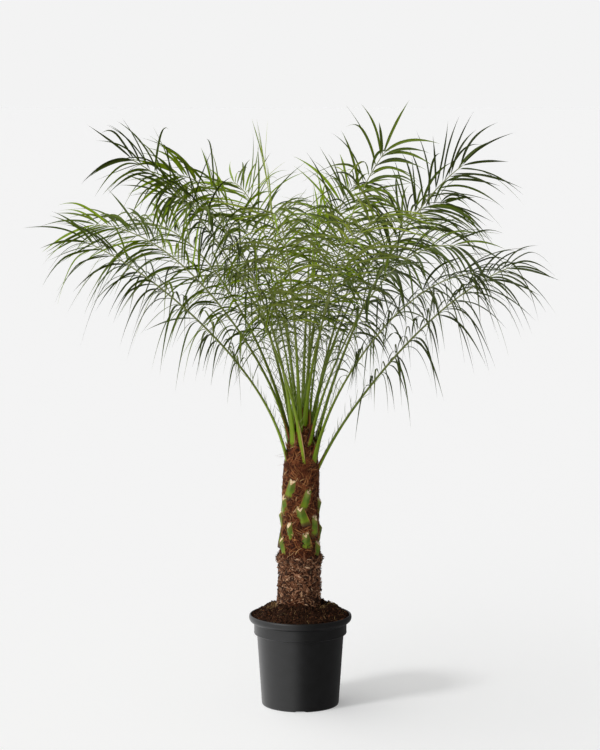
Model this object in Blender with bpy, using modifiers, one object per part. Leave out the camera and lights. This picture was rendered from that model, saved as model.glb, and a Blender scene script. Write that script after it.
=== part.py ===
"""Pygmy date palm in a round black nursery pot, as closed solids, one object for each sub-part.

Metres, +Z up. The origin is the middle of the pot's flat underside. +X is to the right and
-Y towards the viewer in the usual front view.

Leaves and cut leaf bases stand on one spiral round the trunk, numbered upwards: each leaf is
LEAF_TURN further round than the one below it. Angles are in degrees, anticlockwise from +X.
"""

import math
import random

import bmesh
import bpy
from mathutils import Matrix, Vector
from mathutils.bvhtree import BVHTree

# Clearance between pieces that touch on the real plant
GAP = 0.0003

# Pot, 31 cm across the rim
RIM_RADIUS = 0.155
RIM_INNER_RADIUS = 0.148
POT_HEIGHT = 0.276
LIP_BOTTOM = 0.2505
BAND_RADIUS = 0.140
BAND_BOTTOM = 0.2195
SHOULDER_RADIUS = 0.131
SHOULDER_BOTTOM = 0.2145
BASE_RADIUS = 0.1165
WALL = 0.002
FLOOR = 0.003
FOOT_WIDTH = 0.014
FOOT_HEIGHT = 0.004
PAD_RADIUS = 0.035
CORNER = 0.002
POT_SIDES = 28
NOTCHES = 4
NOTCH_WIDTH = 0.030
NOTCH_HEIGHT = 0.003
DRAINS = 4
DRAIN_RADIUS = 0.006
DRAIN_CIRCLE = 0.080
DRAIN_SIDES = 6

# Rolled lip, as (in from the rim, down from its top)
LIP_ROLL = (
    (0.0050, 0.0), (0.0015, 0.0018), (0.0, 0.0060), (0.0, 0.0110), (0.0035, 0.0190), (0.0105, 0.0240),
)
LIP_THICKNESS = 0.010

# Potting soil: level under the trunk, and the mound as (radius, height) from there to the pot
SOIL_LEVEL = 0.300
SOIL_SEAT_RADIUS = 0.071
SOIL_MOUND = ((0.080, 0.3030), (0.094, 0.2995), (0.125, 0.2845))
SOIL_EDGE = 0.2685

# Trunk: (height, radius) from the cut at the soil to the tip of the fibre cone
TRUNK_PROFILE = (
    (SOIL_LEVEL, 0.0650),
    (0.316, 0.0615),
    (0.385, 0.0595),
    (0.430, 0.0600),
    (0.446, 0.0665),
    (0.462, 0.0610),
    (0.485, 0.0560),
    (0.600, 0.0535),
    (0.700, 0.0515),
    (0.735, 0.0490),
    (0.765, 0.0445),
    (0.800, 0.0385),
    (0.835, 0.0315),
    (0.865, 0.0210),
)
TRUNK_FOOT_X = -0.004
TRUNK_LEAN = 0.016
TRUNK_RING = 10

# Spiral of the leaves
LEAF_TURN = -137.5
FIRST_LEAF_ANGLE = -22.5
FIRST_LEAF_HEIGHT = 0.510
CUT_LEAVES = 20
CUT_LEAF_RISE = 0.0100
GREEN_LEAF_RISE = 0.0075

# Cut leaf base: a keeled wedge, lying on the trunk
BASE_LENGTH = 0.046
BASE_TOP_WIDTH = 0.019
BASE_FOOT_WIDTH = 0.024
BASE_STAND = 0.011
BASE_SLOPE = 0.013
BASE_ROOT = 0.012
BASE_TOP_EDGE = 0.0035
BASE_FOOT_EDGE = 0.0015
BASE_FOOT_KEEL = 0.004

# Rib of a frond: (share of the length, width, depth)
RIB_SECTIONS = (
    (0.00, 0.0190, 0.0090),
    (0.04, 0.0170, 0.0085),
    (0.12, 0.0120, 0.0075),
    (0.22, 0.0100, 0.0068),
    (0.36, 0.0088, 0.0060),
)
RIB_TIP_WIDTH = 0.0035
RIB_TIP_DEPTH = 0.0030
KEEL_SHARE = 0.55
YOUNG_SLIMNESS = 0.30
RACHIS_START = 0.36
FOOT_SINK = 0.011
RIB_STEPS = 48

# Leaflets of an open frond: their lengths follow an arc of a sine along the rib
LEAFLETS = 18
LEAFLET_LENGTH = 0.250
ARC_START = 0.17
ARC_SPAN = 0.61
ARC_POWER = 0.7
LEAFLET_WIDTH = 0.015
LEAFLET_PITCH_SHARE = 0.6
LEAFLET_THICKNESS = 0.0026
LEAFLET_BEND = 0.42
END_LEAFLET = 0.160
END_SAG_SHARE = 0.33
BASAL_SPREAD = 66
TIP_SPREAD = 34
RAISE = 22
UNEVEN_SPREAD = 2
UNEVEN_RAISE = 4
UNEVEN_LENGTH = 0.06
BASAL_SAG = 1.15
TIP_SAG = 0.50

# Room for each leaflet: lengths to try, the margin round it, and how much of its root is left out
SHORTER = (1.0, 0.82, 0.66, 0.5, 0.36)
LEAFLET_CLEARANCE = 0.0015
NEIGHBOURS = 6
FREE_ROOT_WIDTH = 0.5
FREE_ROOT_START = 0.25

# Spear: the folded young leaf
SPEAR_LEAFLETS = 5
SPEAR_SPREAD = 7
SPEAR_START = 0.62
SPEAR_END_SHARE = 0.5

# Fronds: spiral number, heading, lean at foot, in the middle and at the tip, roll, length, sag
FRONDS = (
    (18, -6, 23, 42, 68, 50, 0.88, 2.0),
    (20, 110, 17, 46, 106, 14, 0.94, 1.8),
    (21, -30, 9, 40, 84, 42, 0.85, 1.6),
    (22, 190, 9, 47, 65, -55, 0.93, 1.8),
    (23, 70, 14, 46, 102, -20, 0.94, 1.7),
    (24, 212, 4, 33, 64, -72, 1.11, 1.2),
    (25, 141, 9, 38, 92, -32, 0.98, 1.3),
    (26, 12, 11, 26, 54, 78, 1.00, 1.1),
    (27, 228, 1, 28, 92, -50, 1.02, 0.9),
    (28, 86, 11, 40, 94, -12, 0.98, 1.4),
    (29, -30, 12, 29, 97, 52, 0.85, 1.3),
    (30, 167, 12, 40, 90, -55, 0.95, 1.3),
    (31, 44, 8, 36, 92, 48, 0.98, 1.3),
    (32, 262, 2, 32, 96, 10, 0.96, 1.2),
    (33, 116, 4, 26, 80, -30, 0.93, 0.8),
    (34, -15, 0, 14, 36, 80, 0.89, 1.4),
    (35, 205, 1, 18, 79, -76, 0.92, 1.3),
    (36, 68, 4, 26, 84, 34, 0.91, 0.9),
    (37, -62, 8, 31, 90, -10, 0.88, 0.9),
)
SPEARS = (
    (38, 178, 3, 8, 9, 0, 0.79, 0.05),
    (39, 60, 2, 6, 14, 0, 0.62, 0.05),
)
SEED = 41

# Finishes: linear red, green, blue, and roughness
BLACK_PLASTIC = (0.016, 0.016, 0.017), 0.45
POTTING_SOIL = (0.028, 0.015, 0.009), 0.95
TRUNK_FIBRE = (0.110, 0.045, 0.022), 0.95
CUT_LEAF_BASE = (0.110, 0.230, 0.020), 0.5
OPEN_LEAF = (0.055, 0.115, 0.022), 0.45
YOUNG_LEAF = (0.150, 0.240, 0.035), 0.5

UP = Vector((0, 0, 1))


def clear_scene():
    for obj in list(bpy.data.objects):
        bpy.data.objects.remove(obj, do_unlink=True)


def collection(name, hidden=False):
    made = bpy.data.collections.new(name)
    bpy.context.scene.collection.children.link(made)
    made.hide_render = hidden
    return made


def material(name, look):
    colour, roughness = look
    made = bpy.data.materials.new(name)
    made.use_nodes = True
    shader = made.node_tree.nodes["Principled BSDF"]
    shader.inputs["Base Color"].default_value = (*colour, 1)
    shader.inputs["Roughness"].default_value = roughness
    shader.inputs["Metallic"].default_value = 0
    return made


def place(name, data, group, finish=None):
    """The named object of this mesh or curve, in its collection and with its material."""
    obj = bpy.data.objects.new(name, data)
    group.objects.link(obj)
    if finish:
        data.materials.append(finish)
    return obj


def as_cutter(obj):
    obj.hide_render = True
    obj.display_type = "WIRE"
    return obj


def mesh_of(name, bm):
    """A mesh of the bmesh, its faces turned outwards and its doubles merged."""
    bmesh.ops.remove_doubles(bm, verts=bm.verts, dist=1e-6)
    bmesh.ops.recalc_face_normals(bm, faces=bm.faces)
    mesh = bpy.data.meshes.new(name)
    bm.to_mesh(mesh)
    bm.free()
    return mesh


def cut(obj, cutter):
    step = obj.modifiers.new("Cut", "BOOLEAN")
    step.operation = "DIFFERENCE"
    step.solver = "EXACT"
    step.object = cutter


def turned(name, profile, group, finish):
    """A profile in the XZ plane, from the outer top down to the axis, turned round Z."""
    bm = bmesh.new()
    points = [bm.verts.new((radius, 0, height)) for radius, height in profile]
    for first, second in zip(points, points[1:]):
        bm.edges.new((first, second))
    mesh = bpy.data.meshes.new(name)
    bm.to_mesh(mesh)
    bm.free()
    obj = place(name, mesh, group, finish)
    screw = obj.modifiers.new("Screw", "SCREW")
    screw.axis = "Z"
    screw.angle = math.tau
    screw.steps = POT_SIDES
    screw.render_steps = POT_SIDES
    screw.use_merge_vertices = True
    screw.merge_threshold = 0.0001
    screw.use_smooth_shade = True
    return obj


def wall_at(height):
    """Inner radius of the pot's tapering wall, below the shoulder."""
    share = (height - CORNER) / (SHOULDER_BOTTOM - CORNER)
    return BASE_RADIUS + (SHOULDER_RADIUS - BASE_RADIUS) * share - WALL


def floor_top():
    return FOOT_HEIGHT + FLOOR


def pot_inside():
    """The pot's inner profile from the rim down to the middle of the floor."""
    return (
        (RIM_INNER_RADIUS, POT_HEIGHT - CORNER),
        (RIM_INNER_RADIUS, LIP_BOTTOM + LIP_THICKNESS),
        (BAND_RADIUS - WALL, LIP_BOTTOM + WALL),
        (BAND_RADIUS - WALL, BAND_BOTTOM + WALL),
        (SHOULDER_RADIUS - WALL, SHOULDER_BOTTOM + WALL),
        (wall_at(floor_top()), floor_top()),
        (0, floor_top()),
    )


def drain_cutter(name, group):
    """Round drains through the floor and notches through the foot, joined in one cutter."""
    bm = bmesh.new()
    for number in range(DRAINS):
        angle = math.tau * (number + 0.5) / DRAINS
        middle = DRAIN_CIRCLE * math.cos(angle), DRAIN_CIRCLE * math.sin(angle), floor_top()
        spot = Matrix.Translation(middle)
        bmesh.ops.create_cone(
            bm, cap_ends=True, segments=DRAIN_SIDES, radius1=DRAIN_RADIUS, radius2=DRAIN_RADIUS,
            depth=4 * FLOOR, matrix=spot,
        )
    for number in range(NOTCHES):
        turn = Matrix.Rotation(math.tau * number / NOTCHES, 4, "Z")
        spot = turn @ Matrix.Translation((BASE_RADIUS, 0, 0))
        size = Matrix.Diagonal((4 * FOOT_WIDTH, NOTCH_WIDTH, 2 * NOTCH_HEIGHT, 1))
        bmesh.ops.create_cube(bm, size=1, matrix=spot @ size)
    return as_cutter(place(name, mesh_of(name, bm), group))


def make_pot(group, cutters, finish):
    outside = (
        *((RIM_RADIUS - inwards, POT_HEIGHT - down) for inwards, down in LIP_ROLL),
        (BAND_RADIUS, LIP_BOTTOM),
        (BAND_RADIUS, BAND_BOTTOM),
        (SHOULDER_RADIUS, SHOULDER_BOTTOM),
        (BASE_RADIUS, CORNER),
        (BASE_RADIUS - CORNER, 0),
        (BASE_RADIUS - FOOT_WIDTH, 0),
        (BASE_RADIUS - FOOT_WIDTH - CORNER, FOOT_HEIGHT),
        (PAD_RADIUS + CORNER, FOOT_HEIGHT),
        (PAD_RADIUS, 0),
        (0, 0),
    )
    loop = (*outside, *reversed(pot_inside()), outside[0])
    cut(turned("pot", loop, group, finish), drain_cutter("pot_drains", cutters))


def make_soil(group, finish):
    """The mound and, a gap inside the pot's inner profile, the soil down to its floor."""
    level, *inside = pot_inside()
    profile = [(0, SOIL_LEVEL - GAP), (SOIL_SEAT_RADIUS, SOIL_LEVEL - GAP)]
    profile += [*SOIL_MOUND, (level[0] - GAP, SOIL_EDGE)]
    profile += [(radius - GAP, height + GAP) for radius, height in inside[:-1]]
    profile.append((0, inside[-1][1] + GAP))
    turned("soil", profile, group, finish)


def trunk_axis(height):
    """The middle of the trunk, which leans a little to the right above its foot."""
    above = max(0.0, height - TRUNK_PROFILE[1][0])
    return Vector((TRUNK_FOOT_X + TRUNK_LEAN * above, 0, height))


def trunk_radius(height):
    for (low, r_low), (high, r_high) in zip(TRUNK_PROFILE, TRUNK_PROFILE[1:]):
        if height <= high:
            share = max(0.0, (height - low) / (high - low))
            return r_low + (r_high - r_low) * share
    return TRUNK_PROFILE[-1][1]


def trunk_mesh(name, grown):
    """The trunk's tapering tube as a mesh, each radius grown by the same amount."""
    bevel = 0.05
    curve = bpy.data.curves.new(name, "CURVE")
    curve.dimensions = "3D"
    curve.bevel_depth = bevel
    curve.bevel_resolution = TRUNK_RING
    curve.use_fill_caps = True
    line = curve.splines.new("POLY")
    line.points.add(len(TRUNK_PROFILE) - 1)
    for point, (height, radius) in zip(line.points, TRUNK_PROFILE):
        point.co = (*trunk_axis(height), 1)
        point.radius = (radius + grown) / bevel
    ends = (line.points[0], -grown), (line.points[-1], grown)
    for point, shift in ends:
        point.co.z += shift
    guide = bpy.data.objects.new(name, curve)
    bpy.context.scene.collection.objects.link(guide)
    bpy.context.view_layer.update()
    evaluated = guide.evaluated_get(bpy.context.evaluated_depsgraph_get())
    made = bpy.data.meshes.new_from_object(evaluated)
    bm = bmesh.new()
    bm.from_mesh(made)
    bpy.data.objects.remove(guide, do_unlink=True)
    bpy.data.meshes.remove(made)
    return mesh_of(name, bm)


def make_trunk(group, cutters, finish):
    """The trunk, and as what is returned its cutter for the pieces that stand on it."""
    trunk = place("trunk", trunk_mesh("trunk", 0), group, finish)
    trunk.data.shade_smooth()
    return as_cutter(place("trunk_clearance", trunk_mesh("trunk_clearance", GAP), cutters))


def leaf_angle(number):
    return math.radians(FIRST_LEAF_ANGLE + LEAF_TURN * number)


def leaf_height(number):
    green = max(0, number - CUT_LEAVES)
    return FIRST_LEAF_HEIGHT + CUT_LEAF_RISE * (number - green) + GREEN_LEAF_RISE * green


def make_leaf_base(number, group, grown, finish):
    """A keeled wedge with a slanting cut across its top, its back cut to the trunk."""
    height = leaf_height(number)
    across = BASE_TOP_WIDTH / 2
    foot = BASE_FOOT_WIDTH / 2
    corners = [(-BASE_ROOT, side * across, BASE_SLOPE / 2) for side in (-1, 1)]
    corners += [(-BASE_ROOT, side * foot, -BASE_LENGTH) for side in (-1, 1)]
    corners += [(BASE_TOP_EDGE, side * across, -BASE_SLOPE / 3) for side in (-1, 1)]
    corners += [(BASE_FOOT_EDGE, side * foot, -BASE_LENGTH) for side in (-1, 1)]
    corners += [(BASE_STAND, 0, -BASE_SLOPE), (BASE_FOOT_KEEL, 0, -BASE_LENGTH)]
    bm = bmesh.new()
    points = [bm.verts.new(corner) for corner in corners]
    bmesh.ops.convex_hull(bm, input=points)
    loose = [point for point in bm.verts if not point.link_faces]
    bmesh.ops.delete(bm, geom=loose, context="VERTS")
    obj = place(f"leaf_base_{number + 1:02d}", mesh_of("leaf_base", bm), group, finish)
    angle = leaf_angle(number)
    out = Vector((math.cos(angle), math.sin(angle), 0))
    obj.location = trunk_axis(height) + out * (trunk_radius(height - BASE_LENGTH / 2))
    obj.rotation_euler = (0, 0, angle)
    cut(obj, grown)


class Frond:
    """A frond's rib as a curve in one upright plane, and the leaflets that it carries.

    The lean from upright grows fast from the foot to the middle, then bends over to the tip:
    lean = foot + (middle - foot) * (1 - (1 - s)^3) + (tip - middle) * s^4, s from 0 to 1.
    """

    def __init__(self, row, name, spear=False):
        number, heading, *leans, roll, self.length, self.sag = row
        self.name = name
        self.spear = spear
        self.leans = [math.radians(lean) for lean in leans]
        angle = leaf_angle(number)
        height = leaf_height(number)
        reach = max(0.0, trunk_radius(height) - FOOT_SINK)
        self.foot = trunk_axis(height) + Vector((math.cos(angle), math.sin(angle), 0)) * reach
        turn = math.radians(heading)
        self.out = Vector((math.cos(turn), math.sin(turn), 0))
        self.across = UP.cross(self.out)
        self.roll = math.radians(roll)
        self.start = SPEAR_START if spear else RACHIS_START
        self.count = SPEAR_LEAFLETS if spear else LEAFLETS
        oldest, youngest = FRONDS[0][0], SPEARS[-1][0]
        self.bulk = 1 - YOUNG_SLIMNESS * (number - oldest) / (youngest - oldest)

    def lean(self, s):
        foot, middle, tip = self.leans
        return foot + (middle - foot) * (1 - (1 - s) ** 3) + (tip - middle) * s**4

    def along(self, s):
        lean = self.lean(s)
        return math.sin(lean) * self.out + math.cos(lean) * UP

    def point(self, s):
        """The rib's place at the share s of its length, by adding up short steps."""
        steps = (self.along(s * (step + 0.5) / RIB_STEPS) for step in range(RIB_STEPS))
        return self.foot + sum(steps, Vector()) * (s * self.length / RIB_STEPS)

    def frame(self, s):
        """Along the rib, across it, and out of its upper face."""
        along = self.along(s)
        turn = Matrix.Rotation(self.roll * s, 3, along)
        across = turn @ self.across
        return along, across, along.cross(across)

    def section(self, s):
        """Width and depth of the rib, which is slimmer on a younger frond."""
        sections = (*RIB_SECTIONS, (1.0, RIB_TIP_WIDTH, RIB_TIP_DEPTH))
        span = max(k for k in range(len(RIB_SECTIONS)) if s >= sections[k][0])
        (low, *near), (high, *far) = sections[span : span + 2]
        share = (s - low) / (high - low)
        return [self.bulk * (a + (b - a) * share) for a, b in zip(near, far)]

    def ring(self, s, grown=0.0):
        """The rib's four corners: wide on the upper face, narrow on the keel."""
        along, across, upper = self.frame(s)
        width, depth = self.section(s)
        middle = self.point(s)
        top = upper * (depth / 2 + grown)
        wide = across * (width / 2 + grown)
        keel = across * (width * KEEL_SHARE / 2 + grown)
        return [middle + top + wide, middle + top - wide, middle - top - keel, middle - top + keel]

    def stations(self):
        bare = [s for s, _, _ in RIB_SECTIONS if s < self.start]
        leafy = [self.start + (1 - self.start) * k / self.count for k in range(self.count + 1)]
        return bare + leafy

    def end(self):
        """The tip of the last leaflet, which carries on from the rib's end."""
        onward = (self.along(1.0) - END_SAG_SHARE * self.sag * UP).normalized()
        return self.point(1.0) + onward * END_LEAFLET * (SPEAR_END_SHARE if self.spear else 1)

    def leaflet(self, k, side, random_share, shorter=1.0, grown=0.0):
        """A leaflet's middle ring of four corners, and its tip.

        The ring follows the order of the rib's side face, and the blade narrows from the
        rib to the ring and from the ring to the tip, where its own weight bends it down.
        The ring lies as the leaflet's root does, turned by the bend alone.
        """
        u = (k + 0.5) / self.count
        s = self.start + (1 - self.start) * u
        along, across, upper = self.frame(s)
        spread = math.radians(SPEAR_SPREAD)
        raised = 0.0
        if not self.spear:
            open_by = BASAL_SPREAD + (TIP_SPREAD - BASAL_SPREAD) * u
            spread = math.radians(open_by + UNEVEN_SPREAD * random_share)
            raised = math.radians(RAISE + UNEVEN_RAISE * random_share)
        outward = math.cos(raised) * side * across + math.sin(raised) * upper
        near = (math.cos(spread) * along + math.sin(spread) * outward).normalized()
        sag = self.sag * (BASAL_SAG + (TIP_SAG - BASAL_SAG) * u)
        far = (near - sag * UP).normalized()
        fullness = math.sin(math.pi * (ARC_START + ARC_SPAN * u)) ** ARC_POWER
        length = LEAFLET_LENGTH * fullness * shorter * (1 + UNEVEN_LENGTH * random_share)
        root = self.point(s) + side * across * self.section(s)[0] / 2
        middle = root + near * length * LEAFLET_BEND
        tip = middle + far * length * (1 - LEAFLET_BEND)
        pitch = (1 - self.start) * self.length / self.count
        room = LEAFLET_PITCH_SHARE * pitch * math.sin(spread)
        width = min(LEAFLET_WIDTH, room) / 2 + grown
        thick = LEAFLET_THICKNESS / 2 + grown
        bent = near.rotation_difference((near + far).normalized())
        broad = (along - along.dot(near) * near).normalized()
        flat = near.cross(broad)
        if flat.dot(upper) < 0:
            flat = -flat
        broad.rotate(bent)
        flat.rotate(bent)
        ring = [
            middle - width * broad + thick * flat,
            middle + width * broad + thick * flat,
            middle + width * broad - thick * flat,
            middle - width * broad - thick * flat,
        ]
        return ring, tip

    def root_ring(self, k, side):
        """The corners of the rib's side face that a leaflet grows from, upper edge first."""
        stations = self.stations()
        first = len(stations) - self.count - 1 + k
        low = self.ring(stations[first])
        high = self.ring(stations[first + 1])
        if side > 0:
            return [low[0], high[0], high[3], low[3]]
        return [low[1], high[1], high[2], low[2]]


QUADS = ((0, 1, 5, 4), (1, 2, 6, 5), (2, 3, 7, 6), (3, 0, 4, 7))
POINT = ((4, 5, 8), (5, 6, 8), (6, 7, 8), (7, 4, 8))


def leaflet_guard(frond, k, side, share, shorter, own):
    """Corners and faces of a slightly larger leaflet, for finding what it would touch."""
    ring, tip = frond.leaflet(k, side, share, shorter, LEAFLET_CLEARANCE)
    root = frond.root_ring(k, side)
    if own:
        middle = sum(root, Vector()) / 4
        slim = [middle.lerp(corner, FREE_ROOT_WIDTH) for corner in root]
        root = [near.lerp(far, FREE_ROOT_START) for near, far in zip(slim, ring)]
    return [*root, *ring, tip], [*QUADS, *POINT]


def rib_guard(frond):
    rings = [frond.ring(s, LEAFLET_CLEARANCE) for s in frond.stations()]
    points = [corner for ring in rings for corner in ring]
    faces = []
    for r in range(len(rings) - 1):
        for c in range(4):
            d = (c + 1) % 4
            faces.append((4 * r + c, 4 * r + d, 4 * r + 4 + d, 4 * r + 4 + c))
    last = len(points) - 4
    faces += [(last + c, last + (c + 1) % 4, last + 4) for c in range(4)]
    return [*points, frond.end()], faces


def joined(shapes):
    """One list of points and one of faces from several."""
    points, faces = [], []
    for more_points, more_faces in shapes:
        shift = len(points)
        points += more_points
        faces += [tuple(i + shift for i in face) for face in more_faces]
    return points, faces


def tree_of(shapes):
    return BVHTree.FromPolygons(*joined(shapes))


def choose_leaflets(fronds):
    """For each leaflet the length at which it clears all else, or nothing where none does.

    Each is tried whole against all other fronds, and without its root against its own rib
    and its neighbours.
    """
    draws = random.Random(SEED)
    ribs = [rib_guard(frond) for frond in fronds]
    placed = []
    chosen = {}
    for index, frond in enumerate(fronds):
        others = ribs[:index] + ribs[index + 1 :] + placed
        around = tree_of(others)
        own = []
        for k in range(frond.count):
            for side in (1, -1):
                share = draws.uniform(-1, 1)
                for shorter in SHORTER:
                    free = leaflet_guard(frond, k, side, share, shorter, True)
                    if tree_of([ribs[index], *own[-NEIGHBOURS:]]).overlap(tree_of([free])):
                        continue
                    whole = leaflet_guard(frond, k, side, share, shorter, False)
                    if not around.overlap(tree_of([whole])):
                        chosen[frond.name, k, side] = share, shorter
                        own.append(free)
                        placed.append(whole)
                        break
    return chosen


def make_frond(frond, chosen, group, grown, finish):
    """The rib as a loft, then each side face drawn out and poked to a leaflet's tip."""
    bm = bmesh.new()
    rings = [[bm.verts.new(corner) for corner in frond.ring(s)] for s in frond.stations()]
    bm.faces.new(rings[0])
    sides = {}
    first = len(rings) - frond.count - 1
    for r, (low, high) in enumerate(zip(rings, rings[1:])):
        for c in range(4):
            d = (c + 1) % 4
            face = bm.faces.new((low[d], low[c], high[c], high[d]))
            if r >= first and c in (1, 3):
                sides[r - first, -1 if c == 1 else 1] = face
    end = bm.faces.new(reversed(rings[-1]))
    bmesh.ops.poke(bm, faces=[end])["verts"][0].co = frond.end()
    for (k, side), face in sides.items():
        if (frond.name, k, side) not in chosen:
            continue
        share, shorter = chosen[frond.name, k, side]
        ring, tip = frond.leaflet(k, side, share, shorter)
        roots = frond.root_ring(k, side)
        drawn = bmesh.ops.extrude_discrete_faces(bm, faces=[face])["faces"][0]
        for corner in drawn.verts:
            nearest = min(range(4), key=lambda i: (roots[i] - corner.co).length)
            corner.co = ring[nearest]
        bmesh.ops.poke(bm, faces=[drawn])["verts"][0].co = tip
    # A blade's two sides get the same diagonals, so that they stay apart where it is twisted
    bmesh.ops.triangulate(bm, faces=bm.faces[:], quad_method="SHORT_EDGE")
    cut(place(frond.name, mesh_of(frond.name, bm), group, finish), grown)


def main():
    clear_scene()
    palm = collection("pygmy_date_palm")
    cutters = collection("cutters", hidden=True)
    make_pot(palm, cutters, material("black_plastic", BLACK_PLASTIC))
    make_soil(palm, material("potting_soil", POTTING_SOIL))
    grown = make_trunk(palm, cutters, material("trunk_fibre", TRUNK_FIBRE))
    cut_leaf_base = material("cut_leaf_base", CUT_LEAF_BASE)
    growing = {row[0] for row in FRONDS}
    for number in range(CUT_LEAVES):
        if number not in growing:
            make_leaf_base(number, palm, grown, cut_leaf_base)
    fronds = [Frond(row, f"frond_{k + 1:02d}") for k, row in enumerate(FRONDS)]
    fronds += [Frond(row, f"spear_{k + 1}", spear=True) for k, row in enumerate(SPEARS)]
    chosen = choose_leaflets(fronds)
    open_leaf = material("open_leaf", OPEN_LEAF)
    young_leaf = material("young_leaf", YOUNG_LEAF)
    for frond in fronds:
        make_frond(frond, chosen, palm, grown, young_leaf if frond.spear else open_leaf)


main()
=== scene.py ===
"""Looks of a pygmy date palm in a black nursery pot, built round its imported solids.

Metres, +Z up. The origin is the middle of the pot's flat underside and the viewer is at -Y.
Each plant piece is worked out as whole arrays: a path carries a profile along it, or a grid of
two parameters is pushed out by its relief. Angles are in degrees, anticlockwise from +X.
"""

import math

import bpy
import numpy as np
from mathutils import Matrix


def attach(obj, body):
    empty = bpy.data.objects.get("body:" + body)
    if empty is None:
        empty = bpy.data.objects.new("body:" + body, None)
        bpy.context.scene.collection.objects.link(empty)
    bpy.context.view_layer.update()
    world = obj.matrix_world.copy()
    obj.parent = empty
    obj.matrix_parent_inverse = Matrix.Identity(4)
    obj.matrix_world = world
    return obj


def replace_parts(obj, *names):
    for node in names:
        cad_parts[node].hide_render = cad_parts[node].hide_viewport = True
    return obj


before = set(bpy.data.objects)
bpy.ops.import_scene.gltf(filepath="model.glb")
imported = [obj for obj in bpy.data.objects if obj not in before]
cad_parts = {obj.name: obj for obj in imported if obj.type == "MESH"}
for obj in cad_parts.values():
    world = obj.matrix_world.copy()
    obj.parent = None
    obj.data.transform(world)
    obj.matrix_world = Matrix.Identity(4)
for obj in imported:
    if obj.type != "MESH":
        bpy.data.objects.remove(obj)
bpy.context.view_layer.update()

UP = np.array((0.0, 0.0, 1.0))

# The photograph's camera, found from the ellipses of the pot's rim and foot
CAMERA_PLACE = (-0.001, -7.0, 1.8)
CAMERA_PITCH = 6.5
CAMERA_LENS = 113.1

# Key lamps: strength, height over the floor, side they come from, and width of the lamp
KEY_STRENGTH = 1.1
KEY_HEIGHT = 42
KEY_SIDE = -54
KEY_SOFTNESS = 26
FLOOR_KEY_HEIGHT = 30
FLOOR_KEY_SOFTNESS = 13

# Surround: its white panel, its dark side, and where on X (-1 to 1) one gives way to the other
PANEL_LIGHT = 1.25
DARK_SIDE = 0.14
PANEL_EDGE = -0.38, 0.10
BACKDROP = "#f3f3f3"
FLOOR_PAINT = 0.725
FLOOR_GLOW = 0.30
FLOOR_HALF = 3000.0

# Pot, as (radius, height) round its outside from the rim down, and its wall
POT_RIM = 0.155
POT_RIM_INSIDE = 0.148
POT_HEIGHT = 0.276
POT_LIP_BOTTOM = 0.2505
POT_BAND = 0.140
POT_BAND_BOTTOM = 0.2195
POT_SHOULDER = 0.131
POT_SHOULDER_BOTTOM = 0.2145
POT_BASE = 0.1165
POT_WALL = 0.002
POT_LIP_THICKNESS = 0.010
POT_FLOOR = 0.007
POT_FOOT_WIDTH = 0.014
POT_FOOT_HEIGHT = 0.004
POT_PAD = 0.035
POT_SIDES = 192
# Rolled lip from below up and over, as (in from the rim, down from its top)
POT_LIP = (
    (0.0125, 0.0246), (0.0080, 0.0226), (0.0035, 0.0190), (0.0008, 0.0145), (0.0, 0.0105),
    (0.0, 0.0060), (0.0006, 0.0032), (0.0018, 0.0014), (0.0035, 0.0003), (0.0055, 0.0),
)
NOTCHES = 4
NOTCH_WIDTH = 0.030
NOTCH_HEIGHT = 0.003
DRAINS = 4
DRAIN_RADIUS = 0.006
DRAIN_CIRCLE = 0.080

# Soil: its mound as (radius, height) out to the pot's wall
SOIL_MOUND = (
    (0.0, 0.3040), (0.070, 0.3050), (0.080, 0.3040), (0.094, 0.2998), (0.125, 0.2848),
    (0.1477, 0.2690),
)
SOIL_GAP = 0.0004
CRUMBS, STRAWS, HEAPED_STRAWS = 4200, 1100, 130
# How far out crumbs and straws may lie
LOOSE_EDGE = 0.1455
STRAW_HEAPS = ((-0.084, -0.018, 0.0), (0.066, -0.044, 0.0), (0.092, 0.004, 0.0))

# Trunk, as (height, radius), and its axis
TRUNK_PROFILE = (
    (0.3000, 0.0650), (0.316, 0.0615), (0.385, 0.0595), (0.430, 0.0600), (0.446, 0.0665),
    (0.462, 0.0610), (0.485, 0.0560), (0.600, 0.0535), (0.700, 0.0515), (0.735, 0.0490),
    (0.765, 0.0445), (0.800, 0.0385), (0.835, 0.0315), (0.865, 0.0210),
)
TRUNK_FOOT_X = -0.004
TRUNK_LEAN = 0.016
OLD_BARK_TOP = 0.448
ROTTED_LEAVES = 19
CROWN_FOOT = 0.72
THREADS, BARK_CURLS, BARK_FRINGE, HAIRS = 4100, 2600, 480, 460
# Radius that the bark's pattern is laid out on
GIRTH = 0.055

# Spiral of the leaves
LEAF_TURN = -137.5
FIRST_LEAF_ANGLE = -22.5
FIRST_LEAF_HEIGHT = 0.510
CUT_LEAVES = 20
CUT_LEAF_RISE = 0.0100
GREEN_LEAF_RISE = 0.0075

# Cut leaf base
BASE_LENGTH = 0.046
BASE_TOP_WIDTH = 0.016
BASE_FOOT_WIDTH = 0.031
BASE_STAND = 0.011
BASE_SLOPE = 0.013
BASE_FOOT_KEEL = 0.004
FACE_POINTS = 15

# Rib of a frond, as (share of the length, width, depth)
RIB_SECTIONS = (
    (0.00, 0.0290, 0.0120), (0.04, 0.0270, 0.0115), (0.12, 0.0172, 0.0095),
    (0.22, 0.0118, 0.0076), (0.36, 0.0090, 0.0063), (1.00, 0.0030, 0.0028),
)
RIB_STEPS = 500
YOUNG_SLIMNESS = 0.30
RACHIS_START = 0.36
FOOT_SINK = 0.011

# Thorns along each side of a bare stalk, and torn tongues of its sheath
THORNS = 13
TONGUES = 4

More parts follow.
